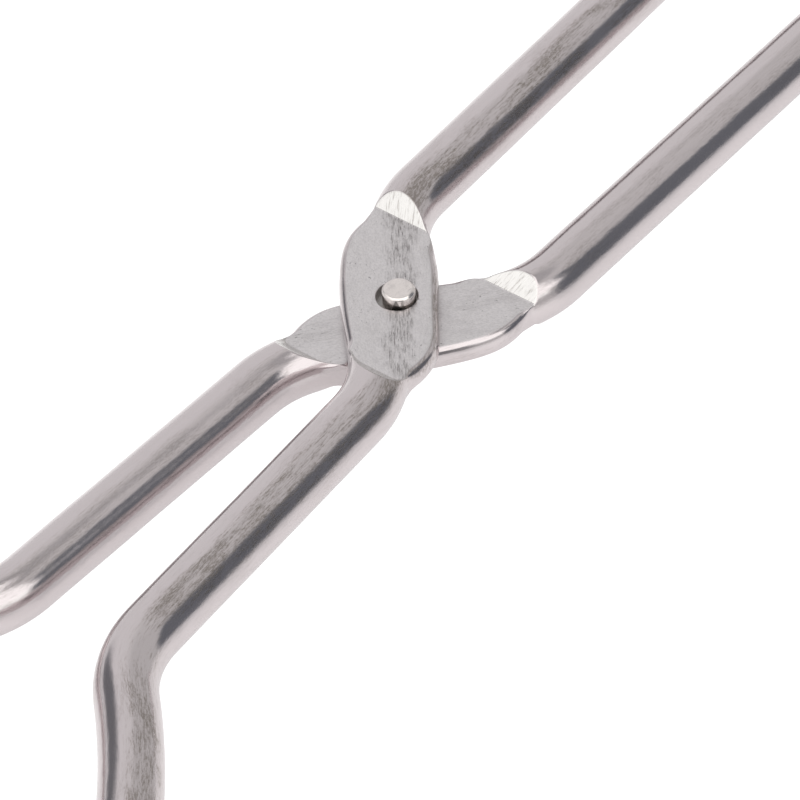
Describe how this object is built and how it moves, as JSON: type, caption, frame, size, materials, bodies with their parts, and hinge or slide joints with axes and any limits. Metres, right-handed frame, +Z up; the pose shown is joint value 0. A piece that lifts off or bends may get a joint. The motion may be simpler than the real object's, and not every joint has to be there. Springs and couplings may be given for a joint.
{
  "type": "tongs",
  "caption": "Scissor-action metal tongs with finger loops, crossed riveted arms, a bowed jaw and upturned toothed tips for hot crucibles.",
  "frame": {"origin": "centre of the bounding box in plan, on the surface the tongs lie on", "axes": "+X from the finger loops to the jaw tips, +Z up, the way the tips are turned, +Y to the side the upper arm's jaw lies on"},
  "size_m": [0.23, 0.076, 0.0277],
  "materials": {
    "arm_steel": "polished rod, dull forged flats",
    "rivet_steel": "bright turned head"
  },
  "bodies": {
    "lower": {"lower_arm": "arm_steel", "pivot_rivet": "rivet_steel"},
    "upper": {"upper_arm": "arm_steel"}
  },
  "joints": [
    {"name": "pivot", "type": "hinge", "parent": "lower", "child": "upper", "pos_m": [0.009, 0, 0.0036], "axis": [0, 0, 1], "range_deg": [-1.1, 80]}
  ]
}
